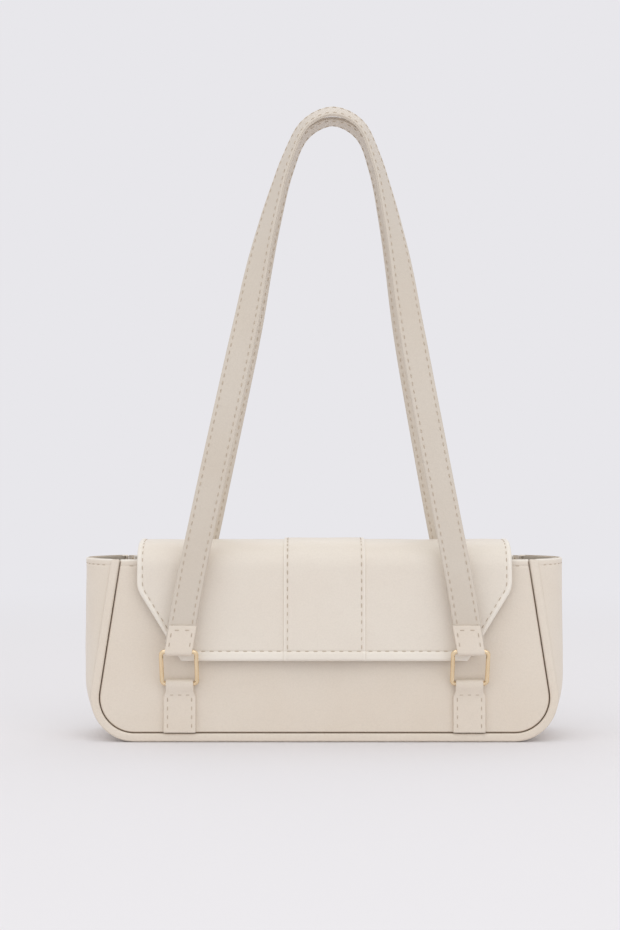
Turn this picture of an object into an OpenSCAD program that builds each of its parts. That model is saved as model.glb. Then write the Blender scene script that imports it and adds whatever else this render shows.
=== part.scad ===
// Baguette shoulder bag: soft box body, over-the-top flap, two long handles on four wire rings.
// Millimetres. X runs along the bag, -Y is the front, Z is up. Origin: middle of the footprint.

/* [Body] */
// Overall width of the body, at the bulge of the side gussets
body_w = 300; // [260:1:340]
// Height of the mouth above the table
body_h = 112; // [100:1:125]
// Depth between the outer faces at the base
base_depth = 71; // [62:1:84]
// Depth between the outer faces at the mouth
mouth_depth = 60; // [52:1:70]
// Width of the front and back panels along their top edge
panel_top_w = 252; // [230:1:262]
// How far each panel side leans outward towards the base, in degrees
side_lean = 8.6; // [6:0.1:10]
// Corner radius of the panels at the base
panel_corner_r = 22; // [16:1:28]
// Corner radius of the gusset at the middle of the depth
gusset_corner_r = 40; // [32:1:46]

/* [Leather] */
// Thickness of the outer leather
leather_t = 1.4; // [1:0.1:1.8]
// Thickness of the lining cloth
lining_t = 0.8; // [0.5:0.1:1]
// Width of the turned welt that frames each panel
welt_w = 5.1; // [4:0.1:5.2]
// How far the welt stands proud of its panel
welt_proud = 1.3; // [0.8:0.1:2]
// Height of the leather facing inside the mouth
facing_h = 22; // [15:1:30]
// Thickness of the stiffening board in the base
board_t = 1.6; // [1:0.1:2]

/* [Flap] */
// Width of the flap over the mouth
flap_w = 230; // [210:1:234]
// Width of the flap along its front edge
flap_front_w = 174; // [150:1:180]
// Height above the table of the flap's front edge
flap_edge_z = 50; // [46:1:54]
// Height above the table where the flap's sides turn in
flap_turn_z = 94; // [86:1:98]
// Rise of the flap's crown above the mouth, at its inner face
flap_rise = 9; // [7:0.5:12]
// Thickness of the flap's leather
flap_t = 1.2; // [1:0.1:1.4]
// Thickness of the flap's lining
flap_lining_t = 1; // [0.6:0.1:1]
// Width of the strip sewn down the middle of the flap
strip_w = 50; // [40:1:60]
// Thickness of that strip
strip_t = 1; // [0.8:0.1:1.4]
// Height of the flap's tail where it is sewn to the back panel
tail_h = 20; // [14:1:26]

/* [Snap] */
// Diameter of the magnetic snap
snap_d = 15; // [12:1:18]
// Thickness of the snap's socket
socket_t = 2.6; // [2.2:0.1:2.8]
// Diameter of the snap's stud
stud_d = 5; // [4:0.5:5.5]
// Height of the snap's centre above the table
snap_z = 63; // [60:1:68]

/* [Rings] */
// Distance between the left and right rings
ring_span = 177.6; // [160:0.2:184]
// Diameter of the ring wire
wire_d = 2.6; // [2:0.1:3]
// Inner width of a ring
ring_inner_w = 18.8; // [18:0.1:22]
// Inner height of a ring
ring_inner_h = 20.4; // [19:0.1:22]
// Centreline radius of a ring's corners
ring_corner_r = 2.2; // [2:0.1:2.3]
// Height of the tab's pivot above the table
pivot_z = 36; // [34:0.5:38]
// How far a ring leans out from the bag, in degrees
ring_lean = 27; // [25:1:32]

/* [Handles] */
// Width of a handle strap
strap_w = 16.6; // [14:0.2:17]
// Thickness of each of a strap's two layers
strap_layer_t = 1.1; // [0.9:0.05:1.2]
// Height of the front handle's top above the table
handle_top_z = 393.5; // [340:0.5:420]
// How much lower the back handle's top lies, under the front one
back_handle_drop = 10; // [9:1:14]
// Sideways drift of the handles' tops
handle_sway = 5.5; // [0:0.5:9]
// Length of the folded loop at each end of a strap
loop_len = 16; // [13:0.5:20]
// Width of the tabs that hold the rings to the body
tab_w = 19.6; // [17:0.2:22]

/* [Hidden] */

// Gap between layers that lie on each other, and between a moving piece and its neighbour
lay_gap = 0.1;
sew_gap = 0.2;
pin_gap = 0.1;
plate_t = 0.5;

// Colours
cream = [0.86, 0.82, 0.74];
cream_deep = [0.82, 0.77, 0.69];
cloth = [0.80, 0.75, 0.68];
board = [0.45, 0.38, 0.30];
gold = [0.86, 0.70, 0.46];

// Derived sizes
panel_lean = atan((base_depth - mouth_depth)/2/body_h);
welt_back = 1.9;
lining_back_off = leather_t + plate_t + 2*lay_gap;
bow_power = 2.2;
seam_z = welt_w + 0.3;
wire_r = wire_d/2;
bore_r = wire_r + pin_gap;
tab_layer_t = 1.2;
tab_loop_r = bore_r + tab_layer_t;
pivot_h = lay_gap + tab_loop_r;
ring_w = ring_inner_w + wire_d;
ring_h = ring_inner_h + wire_d;
side_steps = 10;
corner_steps = 10;
bottom_steps = 6;

// Helpers

// A point of the front panel's leaning plane: x along the bag, v up the panel, h out of it
function on_front(x, v, h) = [
    x,
    -base_depth/2 + v*sin(panel_lean) - h*cos(panel_lean),
    v*cos(panel_lean) + h*sin(panel_lean)
];

// Places children drawn in the front panel's plane, with their z out of the bag
module front_plane() {
    translate([0, -base_depth/2, 0])
        rotate([90 - panel_lean, 0, 0])
            children();
}

module back_plane() {
    mirror([0, 1, 0])
        front_plane()
            children();
}

// Right half of a panel-like outline, from the top of its side, round the corner, to the middle
function half_outline(top_x, lean, low, r, top) =
    let (cz = low + r,
         cx = (top_x*cos(lean) + top*sin(lean) - r - cz*sin(lean))/cos(lean),
         side_end = [cx + r*cos(lean), cz + r*sin(lean)])
    concat(
        [for (i = [0:side_steps - 1]) [top_x, top] + i/side_steps*(side_end - [top_x, top])],
        [for (i = [0:corner_steps])
            let (a = lean - i*(90 + lean)/corner_steps) [cx + r*cos(a), cz + r*sin(a)]],
        [for (i = [1:bottom_steps]) [cx*(1 - i/bottom_steps), low]]
    );

// Whole outline, from the left top, under the base, to the right top
function whole(half) = concat(
    [for (p = half) [-p[0], p[1]]],
    [for (i = [len(half) - 2:-1:0]) half[i]]
);

// Seam line of the panels, moved outward by d
function seam_outline(d) = whole(half_outline(
    panel_top_w/2 + d/cos(side_lean), side_lean, seam_z - d, panel_corner_r + d, body_h
));

// Outline of the gusset at the middle of the depth, moved outward by d
function middle_outline(d) = whole(half_outline(body_w/2 + d, 0, -d, gusset_corner_r + d, body_h));

// Skin through rings of points, closed at both ends; falling picks the other diagonal of each patch
module skin(rings, falling = false) {
    n = len(rings[0]);
    m = len(rings);
    function patch(a, b, c, d) = falling ? [[a, b, c], [a, c, d]] : [[a, b, d], [b, c, d]];
    polyhedron(
        points = [for (r = rings) for (p = r) p],
        faces = concat(
            [[for (j = [0:n - 1]) j]],
            [for (i = [0:m - 2]) for (j = [0:n - 1])
                each patch(i*n + j, (i + 1)*n + j, (i + 1)*n + (j + 1)%n, i*n + (j + 1)%n)],
            [[for (j = [n - 1:-1:0]) (m - 1)*n + j]]
        ),
        convexity = 10
    );
}

// Band between two depths of the body, bowed out from the seams to the middle of the depth
module band(outer_off, inner_off, edge_inset, steps) {
    seam_out = seam_outline(seam_z + outer_off);
    seam_in = seam_outline(seam_z + inner_off);
    middle_out = middle_outline(outer_off);
    middle_in = middle_outline(inner_off);
    function across(a, b, t, zs) =
        let (bow = 1 - pow(abs(t), bow_power), p = a + bow*(b - a),
             half_depth = base_depth/2 - zs*tan(panel_lean) - edge_inset)
        [p[0], t*half_depth, p[1]];
    skin([for (i = [0:len(seam_out) - 1]) concat(
        [for (k = [0:steps]) across(seam_out[i], middle_out[i], 2*k/steps - 1, seam_out[i][1])],
        [for (k = [steps:-1:0]) across(seam_in[i], middle_in[i], 2*k/steps - 1, seam_out[i][1])]
    )]);
}

// Flat piece with the panels' outline, moved inward by inset, between two heights above the plane
module panel_sheet(inset, low, high, top_v, bottom_v) {
    translate([0, 0, low])
        linear_extrude(height = high - low)
            intersection() {
                polygon(seam_outline(-inset));
                translate([-body_w, bottom_v])
                    square([2*body_w, top_v - bottom_v]);
            }
}

// Body

module front_panel() {
    color(cream)
        front_plane()
            panel_sheet(sew_gap, -leather_t, 0, body_h, 0);
}

module back_panel() {
    color(cream)
        back_plane()
            panel_sheet(sew_gap, -leather_t, 0, body_h, 0);
}

module gusset() {
    color(cream)
        band(0, -leather_t, welt_back + sew_gap, 12);
}

// Rounded welt round the panel's sides and base
module welt() {
    edge = 0.9;
    section = [
        [0, -welt_back + edge], [0, welt_proud - edge], [edge, welt_proud],
        [welt_w - 1.6*edge, welt_proud], [welt_w - 0.4*edge, welt_proud - 0.5*edge],
        [welt_w, welt_proud - 1.6*edge], [welt_w, -welt_back], [edge, -welt_back]
    ];
    outlines = [for (s = section) seam_outline(s[0])];
    skin([for (i = [0:len(outlines[0]) - 1])
        [for (j = [0:len(section) - 1])
            on_front(outlines[j][i][0], outlines[j][i][1], section[j][1])]
    ]);
}

module front_welt() {
    color(cream_deep)
        welt();
}

module back_welt() {
    color(cream_deep)
        mirror([0, 1, 0])
            welt();
}

// Linings, pocket and facings

lining_inset = leather_t + 1.1;
facing_inset = lining_inset + 3;
lining_drop = 1.5;
lining_top = body_h - lining_drop;
facing_back = -lining_back_off - lining_t - lay_gap;

module lining_sheet() {
    panel_sheet(lining_inset, -lining_back_off - lining_t, -lining_back_off, lining_top, 0);
}

module front_lining() {
    color(cloth)
        front_plane()
            lining_sheet();
}

module back_lining() {
    color(cloth)
        back_plane()
            lining_sheet();
}

// The gusset's lining rises over the board in the base
module gusset_lining() {
    side_off = leather_t + sew_gap;
    base_off = leather_t + board_t + 2*sew_gap;
    seam_half = function (d)
        half_outline(panel_top_w/2 + (seam_z - d)/cos(side_lean), side_lean,
            base_off + d - side_off, panel_corner_r + seam_z - d, lining_top);
    middle_half = function (d)
        half_outline(body_w/2 - d, 0, base_off + d - side_off, gusset_corner_r - d, lining_top);
    seam_out = whole(seam_half(side_off));
    seam_in = whole(seam_half(side_off + lining_t));
    middle_out = whole(middle_half(side_off));
    middle_in = whole(middle_half(side_off + lining_t));
    steps = 10;
    function across(a, b, t, zs) =
        let (bow = 1 - pow(abs(t), bow_power), p = a + bow*(b - a),
             half_depth = base_depth/2 - zs*tan(panel_lean) - lining_back_off - lining_t - sew_gap)
        [p[0], t*half_depth, p[1]];
    color(cloth)
        skin([for (i = [0:len(seam_out) - 1]) concat(
            [for (k = [0:steps]) across(seam_out[i], middle_out[i], 2*k/steps - 1, seam_out[i][1])],
            [for (k = [steps:-1:0]) across(seam_in[i], middle_in[i], 2*k/steps - 1, seam_out[i][1])]
        )]);
}

module facing_sheet() {
    panel_sheet(facing_inset, facing_back - leather_t, facing_back, body_h, body_h - facing_h);
}

module front_facing() {
    color(cream)
        front_plane()
            facing_sheet();
}

module back_facing() {
    color(cream)
        back_plane()
            facing_sheet();
}

// Flat slip pocket sewn on the back lining, between the base and the facing
module inner_pocket() {
    pocket_w = 120;
    pocket_low = 20;
    below_facing = 8;
    pocket_h = body_h - facing_h - below_facing - pocket_low;
    color(cloth)
        back_plane()
            translate([-pocket_w/2, pocket_low, facing_back - lining_t])
                cube([pocket_w, pocket_h, lining_t]);
}

module base_board() {
    corner = 8;
    end_gap = 2;
    side_gap = 1;
    board_w = body_w - 2*(gusset_corner_r + end_gap);
    board_d = base_depth - 2*(lining_back_off + lining_t + side_gap);
    color(board)
        translate([0, 0, leather_t + sew_gap])
            linear_extrude(height = board_t)
                union() {
                    square([board_w, board_d - 2*corner], center = true);
                    square([board_w - 2*corner, board_d], center = true);
                    for (sx = [-1, 1])
                        for (sy = [-1, 1])
                            translate([sx*(board_w/2 - corner), sy*(board_d/2 - corner)])
                                circle(r = corner, $fn = 48);
                }
}

// Flap

flap_total_t = flap_t + flap_lining_t + lay_gap;
hinge_r = (flap_t + flap_lining_t)/2;
hinge_v = body_h + 1.6;
flap_gap_top = 4.2;
flap_gap_low = 4.7;
crown_z = body_h + flap_rise;
front_top_y = -(mouth_depth/2 + flap_gap_top);
front_low_y = on_front(0, flap_edge_z, flap_gap_low)[1];
front_bend_z = body_h - 6;
crown_y = -10;

// A point of the back panel's leaning plane in side view, [y, z]: v up the panel, h out of it
function on_back(v, h) =
    let (p = on_front(0, v, h)) [-p[1], p[2]];

// The fold that the flap turns on, at the top of its tail
hinge = on_back(hinge_v, lay_gap + hinge_r);

function bezier(p, t) =
    pow(1 - t, 3)*p[0] + 3*t*pow(1 - t, 2)*p[1] + 3*t*t*(1 - t)*p[2] + pow(t, 3)*p[3];

// Side view of the flap's inner face, [y, z], from the hinge over the mouth and down the front
front_slope = (front_low_y - front_top_y)/(flap_edge_z - front_bend_z);
rise_angle = 52;
rise_dir = [-cos(rise_angle), sin(rise_angle)];
flap_start = hinge + (hinge_r + 0.3)*rise_dir - flap_total_t/2*[rise_dir[1], -rise_dir[0]];
back_rise = [flap_start, flap_start + 5.6*rise_dir, [8, crown_z + 0.5], [crown_y, crown_z]];
front_bend = [
    [crown_y, crown_z], [crown_y - 12, crown_z - 0.33],
    [front_top_y + 13*front_slope, front_bend_z + 13], [front_top_y, front_bend_z]
];
flap_path = concat(
    [for (i = [0:9]) bezier(back_rise, i/10)],
    [for (i = [0:12]) bezier(front_bend, i/12)],
    [for (i = [1:4]) [front_top_y, front_bend_z]
        + i/4*([front_low_y, flap_edge_z] - [front_top_y, front_bend_z])]
);

function unit(v) = v/norm(v);
function path_normal(path, i) =
    let (d = unit(path[min(i + 1, len(path) - 1)] - path[max(i - 1, 0)])) [d[1], -d[0]];

// Cross-section of a layer that lies between two distances outside a path
function layer_section(path, low, high) = concat(
    [for (i = [0:len(path) - 1]) path[i] + low*path_normal(path, i)],
    [for (i = [len(path) - 1:-1:0]) path[i] + high*path_normal(path, i)]
);

// Points of a corner rounded to radius r, between the directions to a and b
function round_corner(a, p, b, r, steps) =
    let (u = unit(a - p), w = unit(b - p), half = acos(u*w)/2,
         c = p + unit(u + w)*r/sin(half),
         s = p + u*r/tan(half) - c,
         turn = (180 - 2*half)*sign(s[0]*w[1] - s[1]*w[0]))
    [for (i = [0:steps]) let (q = i/steps*turn)
        c + [s[0]*cos(q) - s[1]*sin(q), s[0]*sin(q) + s[1]*cos(q)]];

// Front view of the flap, [x, z], with its sides turning in towards the front edge
function flap_half_front() =
    let (top = [flap_w/2, 2*body_h], turn = [flap_w/2, flap_turn_z],
         low = [flap_front_w/2, flap_edge_z - 1], mid = [0, flap_edge_z - 1])
    concat([top], round_corner(top, turn, low, 16, 8), round_corner(turn, low, mid, 5, 5));

module flap_outline() {
    half = flap_half_front();
    translate([0, body_w/2, 0])
        rotate([90, 0, 0])
            linear_extrude(height = body_w)
                polygon(concat(half, [for (i = [len(half) - 1:-1:0]) [-half[i][0], half[i][1]]]));
}

module flap_layer(low, high, x0, x1) {
    intersection() {
        translate([x0, 0, 0])
            rotate([90, 0, 90])
                linear_extrude(height = x1 - x0)
                    polygon(layer_section(flap_path, low, high));
        flap_outline();
    }
}

strip_lap = 5;

module flap_right_panel() {
    color(cream)
        flap_layer(flap_lining_t + lay_gap, flap_total_t, strip_w/2 - strip_lap, flap_w/2);
}

module flap_left_panel() {
    color(cream)
        flap_layer(flap_lining_t + lay_gap, flap_total_t, -flap_w/2, -strip_w/2 + strip_lap);
}

module flap_center_strip() {
    color(cream)
        flap_layer(flap_total_t + lay_gap, flap_total_t + lay_gap + strip_t, -strip_w/2, strip_w/2);
}

module flap_lining() {
    color(cream_deep)
        flap_layer(0, flap_lining_t, -flap_w/2, flap_w/2);
}

// The end of the flap that is sewn flat to the back panel, up to its fold
module flap_tail() {
    low = body_h - tail_h;
    color(cream)
        translate([-flap_w/2, 0, 0])
            rotate([90, 0, 90])
                linear_extrude(height = flap_w)
                    union() {
                        polygon([
                            on_back(low, lay_gap), on_back(low, lay_gap + 2*hinge_r),
                            on_back(hinge_v, lay_gap + 2*hinge_r), on_back(hinge_v, lay_gap)
                        ]);
                        translate(hinge)
                            circle(r = hinge_r, $fn = 48);
                    }
}

// Magnetic snap

snap_gap = 0.45;
snap_hole_r = stud_d/2 + 1.7;
flap_gap_snap = flap_gap_low
    - (flap_gap_low - flap_gap_top)*(snap_z - flap_edge_z)/(body_h - flap_edge_z);

module snap_socket() {
    hole_depth = 1.6;
    color(gold)
        front_plane()
            translate([0, snap_z, lay_gap])
                difference() {
                    cylinder(r = snap_d/2, h = socket_t, $fn = 64);
                    translate([0, 0, socket_t - hole_depth])
                        cylinder(r = snap_hole_r, h = hole_depth + 1, $fn = 48);
                }
}

module snap_socket_plate() {
    color(gold)
        front_plane()
            translate([0, snap_z, -leather_t - lay_gap - plate_t])
                cylinder(r = snap_d/2 + 1, h = plate_t, $fn = 48);
}

// The flap's inner face leans a little less than the panel, so the stud follows the flap
module flap_plane(z) {
    lean = atan(front_slope);
    y = front_top_y + (z - front_bend_z)*front_slope;
    translate([0, y, z])
        rotate([90 - lean, 0, 0])
            children();
}

module snap_stud() {
    seat_t = flap_gap_snap - socket_t - 2*lay_gap - snap_gap;
    nub_l = 1.1;
    color(gold)
        flap_plane(snap_z)
            translate([0, 0, -lay_gap])
                union() {
                    translate([0, 0, -seat_t])
                        cylinder(r = snap_d/2, h = seat_t, $fn = 64);
                    translate([0, 0, -seat_t - nub_l])
                        cylinder(r = stud_d/2, h = nub_l + 0.2, $fn = 48);
                }
}

// The stud's plate lies under the strip, in the gap between the two side panels
module snap_stud_plate() {
    color(gold)
        flap_plane(snap_z)
            translate([0, 0, flap_lining_t + lay_gap])
                cylinder(r = snap_d/2 + 1, h = plate_t, $fn = 48);
}

// Rings and their tabs

pivot = on_front(ring_span/2, pivot_z, pivot_h);
bar = pivot + [0, -ring_h*sin(ring_lean), ring_h*cos(ring_lean)];

module bar_along(axis, length) {
    rotate(axis == 0 ? [0, 90, 0] : [0, 0, 0])
        cylinder(r = wire_r, h = length, center = true, $fn = 32);
}

// Round wire bent to a rectangle, with its lower bar on the pivot
module wire_ring() {
    run_w = ring_w - 2*ring_corner_r;
    run_h = ring_h - 2*ring_corner_r;
    translate(pivot)
        rotate([ring_lean, 0, 0])
            union() {
                for (z = [0, ring_h])
                    translate([0, 0, z])
                        bar_along(0, run_w);
                for (sx = [-1, 1])
                    translate([sx*ring_w/2, 0, ring_h/2])
                        bar_along(2, run_h);
                for (q = [[1, 1, 0], [-1, 1, 90], [-1, -1, 180], [1, -1, 270]])
                    translate([q[0]*run_w/2, 0, ring_h/2 + q[1]*run_h/2])
                        rotate([90, 0, 0])
                            rotate([0, 0, q[2]])
                                rotate_extrude(angle = 90, $fn = 64)
                                    translate([ring_corner_r, 0])
                                        circle(r = wire_r, $fn = 32);
            }
}

// Folded tab, sewn flat to the panel, with the ring's lower bar in its fold
module ring_tab() {
    foot_v = seam_z + 0.5;
    wide_top = pivot_z - 7;
    slope_end = pivot_z - 9;
    front_low = lay_gap + tab_layer_t + 0.05;
    loop_w = strap_w;
    front_plane()
        translate([ring_span/2, 0, 0])
            union() {
                translate([-tab_w/2, foot_v, lay_gap])
                    cube([tab_w, wide_top - foot_v, tab_layer_t]);
                translate([-loop_w/2, 0, 0])
                    rotate([90, 0, 90])
                        linear_extrude(height = loop_w)
                            difference() {
                                union() {
                                    translate([foot_v, lay_gap])
                                        square([pivot_z - foot_v, tab_layer_t]);
                                    translate([foot_v, front_low])
                                        square([slope_end - foot_v, tab_layer_t]);
                                    polygon([
                                        [slope_end - 0.2, front_low],
                                        [slope_end - 0.2, front_low + tab_layer_t],
                                        [pivot_z, pivot_h + tab_loop_r],
                                        [pivot_z, pivot_h + bore_r]
                                    ]);
                                    translate([pivot_z, pivot_h])
                                        circle(r = tab_loop_r, $fn = 64);
                                }
                                translate([pivot_z, pivot_h])
                                    circle(r = bore_r, $fn = 64);
                            }
            }
}

module to_left() {
    mirror([1, 0, 0])
        children();
}

module to_back() {
    mirror([0, 1, 0])
        children();
}

module front_tab_right() { color(cream) ring_tab(); }
module front_tab_left() { color(cream) to_left() ring_tab(); }
module back_tab_right() { color(cream) to_back() ring_tab(); }
module back_tab_left() { color(cream) to_back() to_left() ring_tab(); }

module front_ring_right() { color(gold) wire_ring(); }
module front_ring_left() { color(gold) to_left() wire_ring(); }
module back_ring_right() { color(gold) to_back() wire_ring(); }
module back_ring_left() { color(gold) to_back() to_left() wire_ring(); }

// Handles

// A leg of each handle in front view: share of the half span against share of the rise
front_leg = [
    [1, 0], [0.935, 0.12], [0.856, 0.24], [0.768, 0.36], [0.677, 0.48], [0.589, 0.60],
    [0.503, 0.72], [0.408, 0.825], [0.312, 0.91], [0.195, 0.975], [0, 1]
];
back_leg = [
    [1, 0], [0.905, 0.12], [0.812, 0.24], [0.735, 0.36], [0.662, 0.48], [0.592, 0.60],
    [0.522, 0.72], [0.425, 0.825], [0.315, 0.91], [0.185, 0.975], [0, 1]
];

// Both legs in one row of points, from the left ring over the top to the right ring
function both_legs(leg) = concat(
    [for (p = leg) [-p[0], p[1]]],
    [for (i = [len(leg) - 2:-1:0]) leg[i]]
);

// Smooth curve through a list of points, t from 0 to its last index
function through(pts, t) =
    let (n = len(pts), i = min(floor(t), n - 2), u = t - i,
         a = pts[i], b = pts[i + 1],
         ta = (b - pts[max(i - 1, 0)])/2, tb = (pts[min(i + 2, n - 1)] - a)/2)
    (2*pow(u, 3) - 3*u*u + 1)*a + (pow(u, 3) - 2*u*u + u)*ta
        + (3*u*u - 2*pow(u, 3))*b + (pow(u, 3) - u*u)*tb;

leg_start = bar + [0, 0, wire_r + strap_layer_t + 1.2];
rise_power = 1.6;
upright_share = 0.04;

// Centreline of a handle, s from 0 at the left ring to 1 at the right ring
function handle_point(legs, s, top_z) =
    let (p = through(legs, s*(len(legs) - 1)),
         leaning = pow(max(p[1] - upright_share, 0)/(1 - upright_share), rise_power))
    [
        p[0]*leg_start[0] + handle_sway*leaning,
        leg_start[1] + (handle_top_y - leg_start[1])*leaning,
        leg_start[2] + p[1]*(top_z - leg_start[2])
    ];

// Turn of the strap about its own length, in degrees, from a ring at 0 to the top at 1
turn_by_share = [
    [0, 0], [0.045, 0], [0.11, 26], [0.2, 35], [0.4, 38], [0.6, 44], [0.7, 52], [0.8, 67], [0.9, 80], [1, 88]
];
function handle_turn(s) = lookup(1 - abs(2*s - 1), turn_by_share);

// Directions along the strap, across its width and out of its face
function cross_frame(legs, s, top_z) =
    let (e = 0.004,
         t = unit(handle_point(legs, min(s + e, 1), top_z) - handle_point(legs, max(s - e, 0), top_z)),
         outward = unit(cross(t, [0, 1, 0])),
         level = cross(outward, t),
         a = handle_turn(s),
         w = cos(a)*outward + sin(a)*level)
    [t, w, cross(w, t)];

// One layer of a strap, between two distances from the centreline towards the bag and the hollow
// of the arch; both layers share the same patches where they meet
module strap_layer(leg, top_z, low, high) {
    steps = 96;
    edge = 0.35;
    legs = both_legs(leg);
    skin([for (i = [0:steps])
        let (s = i/steps, p = handle_point(legs, s, top_z), f = cross_frame(legs, s, top_z))
        [for (q = [
            [-1, low + edge, 0], [-1, high - edge, 0], [-1, high, edge], [1, high, -edge],
            [1, high - edge, 0], [1, low + edge, 0], [1, low, -edge], [-1, low, edge]
        ]) p + (q[0]*strap_w/2 + q[2])*f[1] + q[1]*f[2]]
    ], falling = low < 0);
}

handle_top_y = -4;
back_top_z = handle_top_z - back_handle_drop;
layer_split = 0.05;
layer_far = layer_split + strap_layer_t;

module front_strap_face() {
    color(cream)
        strap_layer(front_leg, handle_top_z, -layer_far, -layer_split);
}

module front_strap_backing() {
    color(cream_deep)
        strap_layer(front_leg, handle_top_z, layer_split, layer_far);
}

module back_strap_face() {
    color(cream)
        to_back()
            strap_layer(back_leg, back_top_z, -layer_far, -layer_split);
}

module back_strap_backing() {
    color(cream_deep)
        to_back()
            strap_layer(back_leg, back_top_z, layer_split, layer_far);
}

// Folded end of a strap, with the ring's upper bar in its fold and the strap between its layers
module strap_loop(leg, top_z) {
    loop_r = bore_r + strap_layer_t;
    lean_run = loop_len*leg_start[0]*(leg[0][0] - leg[1][0])/(leg[1][1]*(top_z - leg_start[2]));
    translate(bar)
        union() {
            difference() {
                rotate([0, 90, 0])
                    cylinder(r = loop_r, h = strap_w, center = true, $fn = 64);
                rotate([0, 90, 0])
                    cylinder(r = bore_r, h = strap_w + 2, center = true, $fn = 64);
                translate([-strap_w, -bore_r, 0])
                    cube([2*strap_w, 2*bore_r, 2*loop_r]);
            }
            for (y = [-loop_r, bore_r])
                translate([0, y + strap_layer_t, 0])
                    rotate([90, 0, 0])
                        linear_extrude(height = strap_layer_t)
                            polygon([
                                [-strap_w/2, 0], [strap_w/2, 0],
                                [strap_w/2 - lean_run, loop_len], [-strap_w/2 - lean_run, loop_len]
                            ]);
        }
}

module front_loop_right() { color(cream) strap_loop(front_leg, handle_top_z); }
module front_loop_left() { color(cream) to_left() strap_loop(front_leg, handle_top_z); }
module back_loop_right() { color(cream) to_back() strap_loop(back_leg, back_top_z); }
module back_loop_left() { color(cream) to_back() to_left() strap_loop(back_leg, back_top_z); }

front_panel();
back_panel();
gusset();
front_welt();
back_welt();
front_lining();
back_lining();
gusset_lining();
front_facing();
back_facing();
inner_pocket();
base_board();
snap_socket();
snap_socket_plate();
flap_tail();
front_tab_left();
front_tab_right();
back_tab_left();
back_tab_right();
flap_left_panel();
flap_right_panel();
flap_center_strip();
flap_lining();
snap_stud();
snap_stud_plate();
front_ring_left();
front_ring_right();
back_ring_left();
back_ring_right();
front_strap_face();
front_strap_backing();
back_strap_face();
back_strap_backing();
front_loop_left();
front_loop_right();
back_loop_left();
back_loop_right();
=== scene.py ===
import bmesh
import bpy
import numpy as np
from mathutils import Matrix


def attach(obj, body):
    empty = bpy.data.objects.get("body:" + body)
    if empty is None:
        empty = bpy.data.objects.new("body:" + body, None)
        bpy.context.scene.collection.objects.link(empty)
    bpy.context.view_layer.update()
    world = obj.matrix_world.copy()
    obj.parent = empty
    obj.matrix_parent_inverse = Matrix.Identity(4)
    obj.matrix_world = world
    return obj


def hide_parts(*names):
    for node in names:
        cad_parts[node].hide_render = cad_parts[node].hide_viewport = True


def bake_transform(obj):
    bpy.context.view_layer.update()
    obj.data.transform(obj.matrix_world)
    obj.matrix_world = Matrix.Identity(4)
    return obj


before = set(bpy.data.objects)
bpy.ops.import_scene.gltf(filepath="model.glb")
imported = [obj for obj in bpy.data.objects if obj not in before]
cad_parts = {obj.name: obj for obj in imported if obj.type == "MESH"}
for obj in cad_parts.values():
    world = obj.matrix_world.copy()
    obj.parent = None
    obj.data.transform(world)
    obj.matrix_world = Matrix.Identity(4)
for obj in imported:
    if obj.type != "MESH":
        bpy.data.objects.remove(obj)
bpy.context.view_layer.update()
mm = 0.001
print("frame loaded:", len(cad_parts), "nodes")

# the camera stands level in front of the bag, a little to its left
cameraSettings = {"place": (-0.0089, -1.235, 0.170), "lens": 75.7}


def addCamera(s):
    data = bpy.data.cameras.new("camera")
    data.lens = s["lens"]
    data.sensor_width = 36
    cam = bpy.data.objects.new("camera", data)
    cam.location = s["place"]
    cam.rotation_euler = (np.pi/2, 0, 0)
    bpy.context.scene.collection.objects.link(cam)
    bpy.context.scene.camera = cam


addCamera(cameraSettings)

# body sizes in millimetres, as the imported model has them
body = {
    "width": 300.0, "height": 112.0, "baseDepth": 71.0, "mouthDepth": 60.0,
    "topWidth": 252.0, "sideLean": 8.6, "panelCorner": 22.0, "gussetCorner": 40.0,
    "weltWidth": 5.1, "weltProud": 1.3, "weltBack": 1.9, "leather": 1.4, "board": 1.6,
}
body["seamZ"] = body["weltWidth"] + 0.3
leanAngle = np.arctan((body["baseDepth"] - body["mouthDepth"])/2/body["height"])
leanSin, leanCos = np.sin(leanAngle), np.cos(leanAngle)


# small helpers for whole arrays

def smooth(a, b, x):
    # 0 below a, 1 above b, with a soft start and end
    t = np.clip((np.asarray(x, float) - a)/(b - a), 0, 1)
    return t*t*(3 - 2*t)


def unit(v):
    # the same directions with length 1
    return v/np.maximum(np.linalg.norm(v, axis=-1, keepdims=True), 1e-12)


def ripple(x, y, seed, scale, octaves=3):
    # soft unevenness: a sum of sines that run in scattered directions
    r = np.random.default_rng(seed)
    total = np.zeros(np.broadcast(x, y).shape)
    for k in range(octaves):
        for _ in range(5):
            a, phase = r.uniform(0, 2*np.pi, 2)
            f = 2*np.pi*(2**k)/scale*r.uniform(0.7, 1.3)
            total += np.sin((x*np.cos(a) + y*np.sin(a))*f + phase)/(2**k)
    return total/6


def onFront(x, v, h):
    # a point of the front panel's leaning plane: x along the bag, v up the panel, h out of it
    x, v, h = np.broadcast_arrays(x, v, h)
    y = -body["baseDepth"]/2 + v*leanSin - h*leanCos
    return np.stack([x, y, v*leanCos + h*leanSin], -1)


def clustered(insets, total, count):
    # stations from one edge to the other: close together near both edges, even between them
    insets = np.asarray(insets, float)
    middle = np.linspace(insets[-1], total - insets[-1], count)[1:-1]
    return np.concatenate([insets, middle, total - insets[::-1]])


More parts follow.
